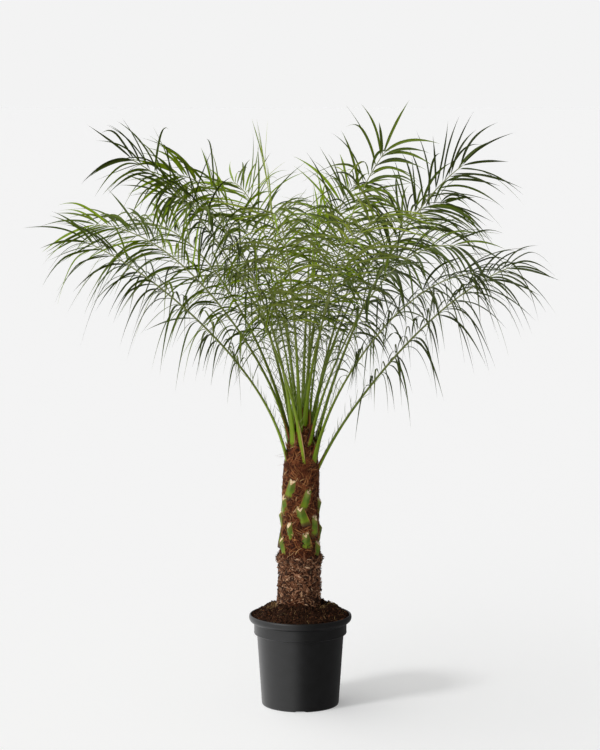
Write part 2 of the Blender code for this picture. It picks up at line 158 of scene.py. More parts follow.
# Leaflets: length and directions by the rule of the solids, but finer and closer together.
# Pairs of spreads and sags are at the first leaflets and at the rib's end
LEAFLET_LENGTH = 0.250
LEAFLET_PITCH = 0.0165
LEAFLET_WIDTH = 0.0076
LEAFLET_THICKNESS = 0.0007
LEAFLET_BEND = 0.42
LEAFLET_STATIONS = 15
LEAFLET_TWIST = 40
FOLDED_SHARE, FOLDED_HANG = 0.18, 1.6
END_LEAFLET = 0.185
ARC_START, ARC_SPAN, ARC_POWER = 0.17, 0.61, 0.7
BASAL_SPREAD, TIP_SPREAD = 66, 34
RAISE = 22
BASAL_SAG, TIP_SAG = 1.15, 0.50
SPEAR_START = 0.62
SPEAR_SPREAD = 7
# A spear's leaflets against open ones: how many, how long and how wide
SPEAR_COUNT, SPEAR_REACH, SPEAR_WIDTH = 0.4, 0.75, 0.5
END_SPREAD = 18

# Fronds: spiral number, heading, lean at foot, in the middle and at the tip, roll, length, sag
FRONDS = (
    (18, -6, 23, 42, 68, 50, 0.88, 2.0),
    (20, 110, 17, 46, 106, 14, 0.94, 1.8),
    (21, -30, 9, 40, 84, 42, 0.85, 1.6),
    (22, 190, 9, 47, 65, -55, 0.93, 1.8),
    (23, 70, 14, 46, 102, -20, 0.94, 1.7),
    (24, 212, 4, 33, 64, -72, 1.11, 1.2),
    (25, 141, 9, 38, 92, -32, 0.98, 1.3),
    (26, 12, 11, 26, 54, 78, 1.00, 1.1),
    (27, 228, 1, 28, 92, -50, 1.02, 0.9),
    (28, 86, 11, 40, 94, -12, 0.98, 1.4),
    (29, -30, 12, 29, 97, 52, 0.85, 1.3),
    (30, 167, 12, 40, 90, -55, 0.95, 1.3),
    (31, 44, 8, 36, 92, 48, 0.98, 1.3),
    (32, 262, 2, 32, 96, 10, 0.96, 1.2),
    (33, 116, 4, 26, 80, -30, 0.93, 0.8),
    (34, -15, 0, 14, 36, 80, 0.89, 1.4),
    (35, 205, 1, 18, 79, -76, 0.92, 1.3),
    (36, 68, 4, 26, 84, 34, 0.91, 0.9),
    (37, -62, 8, 31, 90, -10, 0.88, 0.9),
)
SPEARS = (
    (38, 178, 3, 8, 9, 0, 0.79, 0.05),
    (39, 60, 2, 6, 14, 0, 0.62, 0.05),
)

# Fibres, as (name, colour, darker colour), and leaflets, as (name, upper side, underside)
PEAT_TONES = (
    ("dark_peat_fibre", "#2b190e", "#1c0f08"),
    ("brown_peat_fibre", "#6d4a2c", "#4c311c"),
    ("pale_straw", "#b99a68", "#8d7148"),
)
FIBRE_TONES = (
    ("dark_sheath_fibre", "#3b1e10", "#241108"),
    ("red_sheath_fibre", "#824726", "#613118"),
    ("brown_sheath_fibre", "#a56c40", "#82502b"),
    ("pale_sheath_fibre", "#cba274", "#a97e50"),
)
BARK_TONES = (
    ("dark_old_bark", "#402819", "#28160d"),
    ("brown_old_bark", "#805439", "#603c27"),
    ("grey_old_bark", "#ad8061", "#8c6248"),
    ("pale_old_bark", "#d0ab8b", "#b18866"),
)
# Leaf tones run from dark to light. A leaflet's tone follows its frond's age, plus painted light
# that makes fronds heading left lighter.
LEAF_TONES = (
    ("old_leaf", "#36410c", "#565f2b"),
    ("ripe_leaf", "#46560d", "#667130"),
    ("green_leaf", "#5b6d08", "#798436"),
    ("fresh_leaf", "#7c9500", "#94a23a"),
    ("young_leaf_blade", "#90ac06", "#a4b440"),
)


# Arrays

def unit(vectors):
    """Vectors divided by their lengths."""
    return vectors / np.maximum(np.linalg.norm(vectors, axis=-1, keepdims=True), 1e-12)


def dot(a, b):
    return (a * b).sum(axis=-1, keepdims=True)


def rotated(angle, a, b):
    """a and b, square to each other, turned by an angle in their plane, from a towards b."""
    return np.cos(angle) * a + np.sin(angle) * b, np.cos(angle) * b - np.sin(angle) * a


def circle(sides, start=0.0):
    """Angles evenly round a circle; start is where the first one stands within its step."""
    return (np.arange(sides) + start) * math.tau / sides


def noise(points, size, seed):
    """Smooth noise from -1 to 1: random values at the corners of cubes of this size, blended
    along each edge by 3t^2 - 2t^3."""
    cell = np.asarray(points) / size
    low = np.floor(cell).astype(np.int64)
    t = cell - low
    t = t * t * (3 - 2 * t)
    total = 0.0
    for corner in np.ndindex(2, 2, 2):
        x, y, z = np.moveaxis(low + corner, -1, 0)
        mixed = (x * 73856093 ^ y * 19349663 ^ z * 83492791 ^ seed * 2654435761) & 0xFFFFFFFF
        mixed = ((mixed ^ (mixed >> 13)) * 1274126177) & 0xFFFFFFFF
        value = (mixed ^ (mixed >> 16)) / 0x7FFFFFFF - 1
        total = total + value * np.where(corner, t, 1 - t).prod(axis=-1)
    return total


def layered(points, size, seed, layers=3):
    """Noise with finer noise added: each layer has half the size and half the height."""
    return sum(noise(points, size / 2**k, seed + k) / 2**k for k in range(layers))


# Meshes

def piece(name, points, faces, finishes, finish_of=None, uv=None, along=None, sharp=None):
    """An object of these points and faces. faces is a list of index arrays, each of one face
    size, finish_of gives each face's finish, uv and along give each point's place on it."""
    mesh = bpy.data.meshes.new(name)
    mesh.vertices.add(len(points))
    mesh.vertices.foreach_set("co", np.asarray(points, np.float32).ravel())
    sizes = np.concatenate([np.full(len(block), block.shape[1]) for block in faces])
    corners = np.concatenate([block.ravel() for block in faces]).astype(np.int32)
    mesh.loops.add(len(corners))
    mesh.loops.foreach_set("vertex_index", corners)
    mesh.polygons.add(len(sizes))
    mesh.polygons.foreach_set("loop_start", (np.cumsum(sizes) - sizes).astype(np.int32))
    for material in finishes:
        mesh.materials.append(material)
    if finish_of is not None:
        mesh.polygons.foreach_set("material_index", np.asarray(finish_of, np.int32))
    if uv is not None:
        layer = mesh.uv_layers.new(name="surface")
        layer.data.foreach_set("uv", np.asarray(uv, np.float32)[corners].ravel())
    if along is not None:
        lengthwise = mesh.attributes.new("along", "FLOAT", "POINT")
        lengthwise.data.foreach_set("value", np.asarray(along, np.float32).ravel())
    mesh.update(calc_edges=True)
    mesh.validate()
    mesh.shade_smooth()
    if sharp is not None:
        mesh.set_sharp_from_angle(angle=math.radians(sharp))
    obj = bpy.data.objects.new(name, mesh)
    bpy.context.scene.collection.objects.link(obj)
    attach(obj, "root")
    return obj


def closed_rings(rings, first, last):
    """Closed bodies from rings (bodies, rings, corners, 3), anticlockwise about the way from
    first to last, the points (bodies, 3) where fans of triangles close them."""
    n, m, c, _ = rings.shape
    points = np.concatenate((rings.reshape(n, -1, 3), first[:, None], last[:, None]), axis=1)
    each = m * c + 2
    base = np.arange(n)[:, None, None] * each
    ring = base + np.arange(m)[None, :, None] * c + np.arange(c)
    following = np.roll(ring, -1, axis=2)
    quads = np.stack((ring[:, :-1], following[:, :-1], following[:, 1:], ring[:, 1:]), axis=-1)
    foot = np.broadcast_to(base[:, 0] + each - 2, (n, c))
    low = np.stack((foot, following[:, 0], ring[:, 0]), axis=-1)
    top = np.stack((foot + 1, ring[:, -1], following[:, -1]), axis=-1)
    share = np.linspace(0, 1, m)
    along = np.concatenate((np.repeat(share, c), (0.0, 1.0)))
    round_it = np.concatenate((np.tile(np.arange(c) / c, m), (0.5, 0.5)))
    uv = np.tile(np.stack((round_it, along), axis=-1), (n, 1))
    return points.reshape(-1, 3), [quads.reshape(-1, 4), low.reshape(-1, 3), top.reshape(-1, 3)], uv


def swept(paths, across, upper, wide, high):
    """A profile carried along many paths: corner = path + wide * across + high * upper.

    paths, across and upper are (bodies, stations, 3), wide and high are (bodies, stations - 2,
    corners), because the first and the last station are the points that close the body.
    """
    rings = (
        paths[:, 1:-1, None]
        + wide[..., None] * across[:, 1:-1, None]
        + high[..., None] * upper[:, 1:-1, None]
    )
    return closed_rings(rings, paths[:, 0], paths[:, -1])


def path_frames(paths, facing):
    """Along each path, and square to it: across, and upper, which leans towards facing."""
    along = unit(np.gradient(paths, axis=1))
    across = unit(np.cross(facing, along))
    return along, across, np.cross(along, across)


# Materials

def colour(code):
    """An sRGB hex value as linear red, green, blue and full cover."""
    value = int(code.lstrip("#"), 16)
    srgb = np.array([value >> 16 & 255, value >> 8 & 255, value & 255]) / 255
    straight = np.where(srgb <= 0.04045, srgb / 12.92, ((srgb + 0.055) / 1.055) ** 2.4)
    return (*straight, 1.0)


def node(tree, kind, inputs=None, **settings):
    """Adds a node with its settings. An input is a value, or the socket that it is linked to."""
    made = tree.nodes.new("ShaderNode" + kind)
    for name, value in settings.items():
        setattr(made, name, value)
    for name, value in (inputs or {}).items():
        if isinstance(value, bpy.types.NodeSocket):
            tree.links.new(value, made.inputs[name])
        else:
            made.inputs[name].default_value = value
    return made


MIX_FACTOR, MIX_A, MIX_B, MIX_RESULT = 0, 6, 7, 2


def finish(name, base, roughness, specular):
    """A new material with its shader set to plain values, and its node tree and shader."""
    made = bpy.data.materials.new(name)
    made.use_nodes = True
    tree = made.node_tree
    shader = tree.nodes["Principled BSDF"]
    shader.inputs["Base Color"].default_value = colour(base)
    shader.inputs["Roughness"].default_value = roughness
    shader.inputs["Specular IOR Level"].default_value = specular
    return made, tree, shader


def in_metres(tree):
    return node(tree, "TexCoord").outputs["Object"]


def on_surface(tree):
    return node(tree, "UVMap", uv_map="surface").outputs[0]


def mottled(tree, shader, tones, size, detail=4, stretch=(1, 1, 1)):
    """Base colour that noise of this size mixes from the first tone to the second."""
    mapping = node(tree, "Mapping", {"Vector": in_metres(tree), "Scale": stretch})
    pattern = node(
        tree, "TexNoise", {"Vector": mapping.outputs[0], "Scale": 1 / size, "Detail": detail}
    )
    spread = node(
        tree, "MapRange", {"Value": pattern.outputs[0], "From Min": 0.35, "From Max": 0.65}
    )
    first, second = (colour(tone) for tone in tones)
    mixed = node(
        tree, "Mix", {MIX_FACTOR: spread.outputs[0], MIX_A: first, MIX_B: second}, data_type="RGBA"
    )
    tree.links.new(mixed.outputs[MIX_RESULT], shader.inputs["Base Color"])
    return pattern


def embossed(tree, shader, height, depth):
    """Bump of this depth in metres from a height socket."""
    bump = node(tree, "Bump", {"Height": height, "Distance": depth, "Strength": 1.0})
    tree.links.new(bump.outputs[0], shader.inputs["Normal"])


def mottled_finish(name, base, tones, size, roughness, specular, depth=0.0, **pattern):
    """A material whose colour, and relief of this depth, follow one noise."""
    made, tree, shader = finish(name, base, roughness, specular)
    grain = mottled(tree, shader, tones, size, **pattern)
    if depth:
        embossed(tree, shader, grain.outputs[0], depth)
    return made


def black_polypropylene():
    """Injection-moulded black polypropylene: near black, satin, with a fine spark-eroded grain
    of about 0.8 mm that breaks up the softbox's reflection."""
    made, tree, shader = finish("moulded_black_polypropylene", "#111112", 0.37, specular=0.46)
    cloudy = mottled(tree, shader, ("#101010", "#151516"), 0.030, detail=2)
    where = cloudy.inputs["Vector"].links[0].from_socket
    grain = node(tree, "TexNoise", {"Vector": where, "Scale": 1 / 0.0008, "Detail": 1})
    embossed(tree, shader, grain.outputs[0], 0.00003)
    return made


def moist_peat(name, dark, light):
    """Peat compost: very dark brown where moist, browner where dry, matt, in crumbs of 2 to
    6 mm."""
    return mottled_finish(
        name, dark, (dark, light), 0.006, roughness=0.95, specular=0.12, depth=0.0012
    )


def sheath_matting():
    """Dry leaf-sheath fibre, matted on the trunk: dull red-brown threads of about 1 mm, with
    painted shade in the gaps between them, near black where the relief is lowest; greyer in the old
    bark near the foot."""
    # Painted shade: the near-black tone follows the relief's low parts, the gaps between the
    # threads.
    return mottled_finish(
        "sheath_matting", "#40200f", ("#1f0d06", "#5c2f1a"), 0.0035, roughness=0.9,
        specular=0.12, depth=0.0010, detail=6, stretch=(1, 1, 0.45),
    )


def fibre(name, code, darker):
    """Single dry fibres and scraps of sheath: one plain brown for each bunch, matt."""
    return mottled_finish(
        name, code, (code, darker), 0.020, roughness=0.8, specular=0.2, detail=2
    )


def leaf(name, code, roughness):
    """Living palm leaflet: tough waxy skin over fine ribs that run its whole length, which
    give the gloss a silky break. The colour is plain and goes leaflet by leaflet."""
    made, tree, shader = finish(name, code, roughness, specular=0.22)
    waves = {"Vector": on_surface(tree), "Scale": 6.0, "Distortion": 0.3, "Detail": 1.0}
    ribs = node(tree, "TexWave", waves, wave_type="BANDS", bands_direction="X")
    embossed(tree, shader, ribs.outputs[1], 0.0001)
    return made


def leaf_finishes():
    """For each leaf tone, its glossier upper side and then its underside."""
    sides = (("_upper", 0.42), ("_under", 0.6))
    return [leaf(name + end, code, roughness) for name, *codes in LEAF_TONES
            for code, (end, roughness) in zip(codes, sides)]


def shaded_along(tree, shader, stops):
    """Base colour from stops along the piece's own length, from 0 at its foot to 1."""
    along = node(tree, "Attribute", attribute_name="along", attribute_type="GEOMETRY").outputs[2]
    ramp = node(tree, "ValToRGB", {"Fac": along})
    while len(ramp.color_ramp.elements) < len(stops):
        ramp.color_ramp.elements.new(0.5)
    for element, (place, code) in zip(ramp.color_ramp.elements, stops):
        element.position = place
        element.color = colour(code)
    tree.links.new(ramp.outputs[0], shader.inputs["Base Color"])


def rind(name, base, roughness, stops, where, stretch, size, depth):
    """Waxy skin of a leaf stalk: coloured along its length, with ridges drawn out along it."""
    made, tree, shader = finish(name, base, roughness, specular=0.3)
    shaded_along(tree, shader, stops)
    drawn_out = node(tree, "Mapping", {"Vector": where(tree), "Scale": stretch}).outputs[0]
    ridges = node(tree, "TexNoise", {"Vector": drawn_out, "Scale": 1 / size, "Detail": 2})
    embossed(tree, shader, ridges.outputs[0], depth)
    return made


def rib_rind():
    """Living stalk: fresh yellow-green where it leaves the trunk, duller green above, and
    straw-green in the leafy part, with faint lengthwise streaks."""
    stops = (
        (0.0, "#738f00"), (0.14, "#6c8404"), (0.34, "#667518"), (0.6, "#7a8144"), (1.0, "#8a9158"),
    )
    return rind("stalk_rind", "#6f8a00", 0.42, stops, on_surface, (14, 3, 1), 1.0, 0.0004)


def cut_base_rind():
    """Cut leaf base: the same waxy green, darker towards the cut, and brown and dry at the
    foot, where the sheath's fibres hold it; faint ridges of 2 mm run along it."""
    stops = (
        (0.0, "#3d2211"), (0.16, "#5b4a14"), (0.30, "#6d8204"), (0.68, "#4f6a0c"), (1.0, "#6f7428"),
    )
    return rind("cut_base_rind", "#5c7408", 0.40, stops, in_metres, (1, 1, 0.12), 0.004, 0.0008)


def cut_pith():
    """Knife-cut pith, dried out: pale tan with ends of fibres as darker dots of about 1 mm."""
    return mottled_finish(
        "dried_cut_pith", "#e3c699", ("#c39a68", "#f2dfbd"), 0.0022, roughness=0.8,
        specular=0.2, depth=0.0004, detail=3,
    )


def studio_floor():
    """White paper sweep, lit through from below as well, so that shadows on it stay pale."""
    made, _, shader = finish("pale_floor", "#ffffff", 0.9, specular=0.0)
    shader.inputs["Base Color"].default_value = (FLOOR_PAINT, FLOOR_PAINT, FLOOR_PAINT, 1)
    shader.inputs["Emission Color"].default_value = (1, 1, 1, 1)
    shader.inputs["Emission Strength"].default_value = FLOOR_GLOW
    return made


# Pot and soil

def rounded(outline, radius, steps=4):
    """The outline with each inner corner turned into an arc: a curve (1-t)^2 a + 2t(1-t) b +
    t^2 c from a point before the corner b to one after it, at most half a side away."""
    points = np.array(outline, float)
    before, corner, after = points[:-2], points[1:-1], points[2:]
    t = np.linspace(0, 1, steps)[None, :, None]

    def towards(other):
        side = np.linalg.norm(other - corner, axis=1, keepdims=True)
        return corner + (other - corner) * np.minimum(radius / side, 0.45)

    a, c = towards(before)[:, None], towards(after)[:, None]
    arcs = (1 - t) ** 2 * a + 2 * t * (1 - t) * corner[:, None] + t**2 * c
    return np.concatenate((points[:1], arcs.reshape(-1, 2), points[-1:]))


def turned(radius, height, sides):
    """Rings round Z: (radius cos angle, radius sin angle, height), radius and height being
    (rings, sides) arrays, closed on the axis at the first and the last height."""
    angle = circle(sides)
    shape = np.broadcast_shapes(radius.shape, height.shape, (1, sides))
    radius, height = np.broadcast_to(radius, shape), np.broadcast_to(height, shape)
    rings = np.stack((radius * np.cos(angle), radius * np.sin(angle), height), axis=-1)
    ends = [np.array([[0.0, 0.0, ring.mean()]]) for ring in (height[0], height[-1])]
    return closed_rings(rings[None], *ends)


def pot_inside():
    """(radius, height) down the pot's inner wall, from the rim to the edge of its floor."""
    taper = (POT_SHOULDER - POT_BASE) / POT_SHOULDER_BOTTOM
    return (
        (POT_RIM_INSIDE, POT_HEIGHT - 0.002),
        (POT_RIM_INSIDE, POT_LIP_BOTTOM + POT_LIP_THICKNESS),
        (POT_BAND - POT_WALL, POT_LIP_BOTTOM + POT_WALL),
        (POT_BAND - POT_WALL, POT_BAND_BOTTOM + POT_WALL),
        (POT_SHOULDER - POT_WALL, POT_SHOULDER_BOTTOM + POT_WALL),
        (POT_BASE + taper * POT_FLOOR - POT_WALL, POT_FLOOR),
    )


def make_pot():
    """One profile from the middle of the underside, out over the foot, up the wall, over the
    rim and down inside, turned round Z; the foot is lifted at each notch by a smooth step."""
    outline = (
        (0.002, 0.0), (POT_PAD, 0.0), (POT_PAD + 0.003, POT_FOOT_HEIGHT),
        (POT_BASE - POT_FOOT_WIDTH - 0.003, POT_FOOT_HEIGHT),
        (POT_BASE - POT_FOOT_WIDTH, 0.0), (POT_BASE - 0.001, 0.0), (POT_BASE + 0.0004, 0.004),
        (POT_SHOULDER, POT_SHOULDER_BOTTOM + 0.001),
        (POT_BAND - 0.0006, POT_BAND_BOTTOM - 0.0012),
        (POT_BAND + 0.0004, POT_BAND_BOTTOM + 0.0012),
        (POT_BAND - 0.0004, POT_BAND_BOTTOM + 0.0045),
        (POT_BAND, POT_LIP_BOTTOM - 0.002), (POT_BAND + 0.0006, POT_LIP_BOTTOM + 0.0002),
        *((POT_RIM - inwards, POT_HEIGHT - down) for inwards, down in POT_LIP),
        *pot_inside(), (0.002, POT_FLOOR),
    )
    radius, height = rounded(outline, radius=0.0016).T[:, :, None]
    angle = circle(POT_SIDES)
    turn = math.tau / NOTCHES
    off = np.abs((angle + turn / 2) % turn - turn / 2) * POT_BASE
    notch = NOTCH_HEIGHT * np.clip((NOTCH_WIDTH / 2 + 0.001 - off) / 0.002, 0, 1)
    foot = (radius > POT_BASE - POT_FOOT_WIDTH - 0.004) & (height < NOTCH_HEIGHT)
    height = np.where(foot, np.maximum(height, notch), height)
    points, faces, _ = turned(radius, height, POT_SIDES)
    pot = piece("pot_shell", points, faces, [black_polypropylene()], sharp=40)
    drill(pot)
    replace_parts(pot, "pot")


def drill(pot):
    """Drains: straight round holes through the floor, evenly round a circle."""
    sides, length = 24, 4 * POT_FLOOR
    angle = circle(DRAINS, 0.5)
    middle = np.stack((DRAIN_CIRCLE * np.cos(angle), DRAIN_CIRCLE * np.sin(angle), 0 * angle), -1)
    paths = middle[:, None] + np.array((-length, -length, length, length))[None, :, None] * UP
    round_it = circle(sides)
    rings = np.broadcast_to(DRAIN_RADIUS * np.cos(round_it), (DRAINS, 2, sides))
    high = np.broadcast_to(DRAIN_RADIUS * np.sin(round_it), (DRAINS, 2, sides))
    across, upper = (np.broadcast_to(v, paths.shape) for v in ((1, 0, 0), (0, 1, 0)))
    points, faces, _ = swept(paths, across, upper, rings, high)
    cutter = piece("drain_cutter", points, faces, [])
    step = pot.modifiers.new("Drains", "BOOLEAN")
    step.operation, step.solver, step.object = "DIFFERENCE", "EXACT", cutter
    bpy.context.view_layer.update()
    evaluated = pot.evaluated_get(bpy.context.evaluated_depsgraph_get())
    drilled = bpy.data.meshes.new_from_object(evaluated)
    pot.modifiers.clear()
    pot.data = drilled
    bpy.data.objects.remove(cutter, do_unlink=True)


def soil_height(radius):
    across, up = np.array(SOIL_MOUND).T
    return np.interp(radius, across, up)


def soil_relief(x, y):
    """Crumbly surface: clods of 26 mm, higher near the trunk, and crumbs of 6 mm, both fading
    out at the pot's wall."""
    flat = np.stack((x, y, 0 * x), axis=-1)
    radius = np.hypot(x, y)
    fade = np.clip((SOIL_MOUND[-1][0] - radius) / 0.006, 0, 1)
    clods = 0.0026 + 0.0050 * np.clip((0.125 - radius) / 0.04, 0, 1)
    crumbs = np.abs(layered(flat, 0.006, 31))
    return fade * (clods * layered(flat, 0.026, 21) + 0.0030 * crumbs - 0.0012)


def make_soil():
    """The mound's height over the plane, plus its relief, on rings 1.5 mm apart, closed by the
    pot's inner profile below."""
    sides = 360
    angle = circle(sides)
    inside = np.array(pot_inside()[::-1]) + (-SOIL_GAP, SOIL_GAP)
    wall = inside[inside[:, 1] < SOIL_MOUND[-1][1] - 0.001]
    top = np.linspace(SOIL_MOUND[-1][0], 0.002, 98)
    radius = np.concatenate((wall[:, 0], top))[:, None] * np.ones(sides)
    relief = soil_relief(radius * np.cos(angle), radius * np.sin(angle))
    low = np.repeat(wall[:, 1:], sides, axis=1)
    height = np.concatenate((low, (soil_height(radius) + relief)[len(wall):]))
    points, faces, _ = turned(radius, height, sides)
    peat = moist_peat("moist_peat", "#1b0e07", "#402616")
    soil = piece("peat_mound", points, faces, [peat])
    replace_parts(soil, "soil")


def scattered(draws, count, inner, outer):
    """Places on the mound, even by area between two radii, with the surface's height there."""
    radius = np.sqrt(draws.uniform(inner**2, outer**2, count))
    angle = draws.uniform(0, math.tau, count)
    x, y = radius * np.cos(angle), radius * np.sin(angle)
    return np.stack((x, y, soil_height(radius) + soil_relief(x, y)), axis=-1)


def make_crumbs():
    """Loose crumbs: four-cornered rings between two points, each corner pushed about, turned
    any way up and sunk by a third; most are small, their sizes spread as the cube of a draw."""
    draws = np.random.default_rng(11)
    count = CRUMBS
    middle = scattered(draws, count, 0.058, LOOSE_EDGE)
    size = 0.0009 + 0.0042 * draws.uniform(0, 1, (count, 1)) ** 3
    basis = np.linalg.qr(draws.normal(size=(count, 3, 3)))[0]
    corners = np.array(((1, 0, 0), (0, 1, 0), (-1, 0, 0), (0, -1, 0), (0, 0, -1), (0, 0, 1)), float)
    local = corners * draws.uniform(0.55, 1.25, (count, 6, 1)) * size[:, None]
    placed = middle[:, None] + np.einsum("nij,nkj->nki", basis, local) + 0.3 * size[:, None] * UP
    flip = np.linalg.det(basis) < 0
    placed[flip, :4] = placed[flip, 3::-1]
    tones = [
        moist_peat("dark_peat", "#160b06", "#341d10"), moist_peat("dry_peat", "#482a1a", "#64402a"),
    ]
    shape = closed_rings(placed[:, None, :4], placed[:, 4], placed[:, 5])
    dealt = draws.choice(2, count, p=(0.84, 0.16))
    crumbs = piece_by_bunch(
        "peat_crumbs", shape, count, tones, dealt, sharp=20
    )
    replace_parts(crumbs, "soil")


def lying(draws, middle, length, lift):
    """Slightly bent straws on the mound, round their middles: a straight run of this length,
    bowed sideways by bow * (1 - (2t - 1)^2), at the surface's height plus lift, tipped a little."""
    count = len(middle)
    heading = draws.uniform(0, math.tau, (count, 1))
    t = np.linspace(0, 1, 6)
    run = length[:, None] * (t - 0.5)
    bow = 0.25 * length[:, None] * draws.normal(0, 0.6, (count, 1)) * (1 - (2 * t - 1) ** 2)
    x = middle[:, :1] + run * np.cos(heading) - bow * np.sin(heading)
    y = middle[:, 1:2] + run * np.sin(heading) + bow * np.cos(heading)
    over = np.minimum(1, LOOSE_EDGE / np.hypot(x, y))
    x, y = x * over, y * over
    tip = draws.normal(0, 0.16, (count, 1)) * run
    z = soil_height(np.hypot(x, y)) + soil_relief(x, y) + lift[:, None] + np.abs(tip)
    return np.stack((x, y, z), axis=-1)


def make_peat_fibres():
    """Fibres and bits of straw that lie in the compost, and two small heaps of straw by the
    trunk's foot, to the left and to the right."""
    draws = np.random.default_rng(13)
    count, heaped = STRAWS, HEAPED_STRAWS
    middle = scattered(draws, count, 0.062, 0.142)
    heap = np.array(STRAW_HEAPS)[draws.choice(3, heaped, p=(0.5, 0.2, 0.3))]
    middle = np.concatenate((middle, heap + draws.normal(0, 0.011, (heaped, 3))))

    def sizes(scattered_ones, heaped_ones):
        """Even draws between two limits, for the scattered fibres and for those in heaps."""
        limits = zip((scattered_ones, heaped_ones), (count, heaped))
        return np.concatenate([draws.uniform(*pair, number) for pair, number in limits])

    length = sizes((0.005, 0.020), (0.007, 0.018))
    lift = sizes((0, 0.0015), (0.0005, 0.0065))
    paths = lying(draws, middle, length, lift)
    half_width = sizes((0.0002, 0.0007), (0.0004, 0.0010))
    shares = ((count, (0.45, 0.45, 0.10)), (heaped, (0.1, 0.3, 0.6)))
    dealt = np.concatenate([draws.choice(3, number, p=share) for number, share in shares])
    straws = strands(
        "peat_straws", paths, UP, half_width, 0.6 * half_width, PEAT_TONES, dealt
    )
    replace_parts(straws, "soil")


# Trunk

def trunk_axis(height):
    """The trunk's middle, which leans to the right above its foot."""
    above = np.maximum(0.0, height - TRUNK_PROFILE[1][0])
    return np.stack((TRUNK_FOOT_X + TRUNK_LEAN * above, 0 * height, height), axis=-1)


def trunk_radius(height):
    heights, radii = np.array(TRUNK_PROFILE).T
    return np.interp(height, heights, radii)


def outward(angle):
    return np.stack((np.cos(angle), np.sin(angle), 0 * angle), axis=-1)


def leaf_angle(number):
    return np.radians(FIRST_LEAF_ANGLE + LEAF_TURN * np.asarray(number, float))


def leaf_height(number):
    green = np.maximum(0, np.asarray(number, float) - CUT_LEAVES)
    return FIRST_LEAF_HEIGHT + CUT_LEAF_RISE * (number - green) + GREEN_LEAF_RISE * green


def trunk_relief(angle, height):
    """How far the bark stands out. Fibre mats are the higher of two noises drawn out along
    helices that climb to the left and to the right. Old bark below the ledge adds curled lumps,
    and rotted leaf bases add a rounded bump at each place of the spiral from there up."""
    around = np.stack((GIRTH * np.cos(angle), GIRTH * np.sin(angle), height), axis=-1)

    def mat(turn, seed):
        twisted = angle + turn * height / GIRTH
        drawn_out = (GIRTH * np.cos(twisted), GIRTH * np.sin(twisted), height * 0.22)
        return noise(np.stack(drawn_out, axis=-1), 0.0042, seed)

    old = 1 / (1 + np.exp((height - OLD_BARK_TOP) / 0.003))
    relief = 0.0015 * np.maximum(mat(0.8, 3), mat(-0.8, 5)) + 0.0012 * layered(around, 0.012, 7)
    relief = relief + old * (0.0032 * layered(around, 0.013, 13) - 0.0010)
    for number in range(-ROTTED_LEAVES, 0):
        off = (angle - leaf_angle(number) + math.pi) % math.tau - math.pi
        rise = height - leaf_height(number) + 0.012
        relief = relief + 0.0030 * np.exp(-((off * GIRTH / 0.009) ** 2) - (rise / 0.013) ** 2)
    return relief


def on_trunk(angle, height, lift):
    stand = trunk_radius(height) + trunk_relief(angle, height) + lift
    return trunk_axis(height) + stand[..., None] * outward(angle)


def make_trunk():
    """Rings up the leaning axis: radius(height) + relief(angle, height), closed to a low dome."""
    sides = 232
    angle = circle(sides)
    height = np.linspace(TRUNK_PROFILE[0][0], TRUNK_PROFILE[-1][0], 330)[:, None]
    rings = on_trunk(angle + 0 * height, height + 0 * angle, 0.0 * angle)
    low, high = (np.array([end]) for end in (TRUNK_PROFILE[0][0], TRUNK_PROFILE[-1][0] + 0.004))
    ends = trunk_axis(low), trunk_axis(high)
    points, faces, _ = closed_rings(rings[None], *ends)
    trunk = piece("fibrous_trunk", points, faces, [sheath_matting()])
    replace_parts(trunk, "trunk")


def walked(angle, height, heading, length, curl, stations):
    """Paths over the trunk's surface: steps of one length whose heading from upright grows
    evenly by curl. Returns the angles and heights of the stations."""
    t = np.linspace(0, 1, stations)
    turn = heading[:, None] + curl[:, None] * t
    step = (length / (stations - 1))[:, None]
    rise = np.cumsum(step * np.cos(turn), axis=1) - step * np.cos(turn[:, :1])
    side = np.cumsum(step * np.sin(turn), axis=1) - step * np.sin(turn[:, :1])
    heights = np.clip(height[:, None] + rise, TRUNK_PROFILE[0][0] - 0.001, TRUNK_PROFILE[-1][0])
    return angle[:, None] + side / trunk_radius(heights), heights


def strands(name, paths, facing, half_width, half_depth, tones, dealt=None, sides=4):
    """Slim fibres along paths, widest at 40% of their length and pointed at both ends:
    width = (t / 0.4)^0.5 up to there, then (1 - ((t - 0.4) / 0.6)^2)."""
    finishes = [fibre(*tone) for tone in tones]
    n, m, _ = paths.shape
    _, across, upper = path_frames(paths, facing)
    t = np.linspace(0, 1, m)[1:-1]
    taper = np.where(t < 0.4, np.sqrt(t / 0.4), 1 - ((t - 0.4) / 0.6) ** 2)[None, :, None]
    turn = circle(sides)
    wide = np.reshape(half_width, (-1, 1, 1)) * taper * np.cos(turn)
    high = np.reshape(half_depth, (-1, 1, 1)) * taper * np.sin(turn)
    wide, high = (np.broadcast_to(v, (n, m - 2, sides)) for v in (wide, high))
    return piece_by_bunch(name, swept(paths, across, upper, wide, high), n, finishes, dealt)


def piece_by_bunch(name, shape, bodies, finishes, dealt, sharp=60):
    """A piece whose bodies each take one of the finishes: dealt holds its number for each."""
    points, faces, uv = shape
    which = None
    if dealt is not None:
        which = np.concatenate([np.repeat(dealt, len(block) // bodies) for block in faces])
    return piece(name, points, faces, finishes, finish_of=which, uv=uv, sharp=sharp)


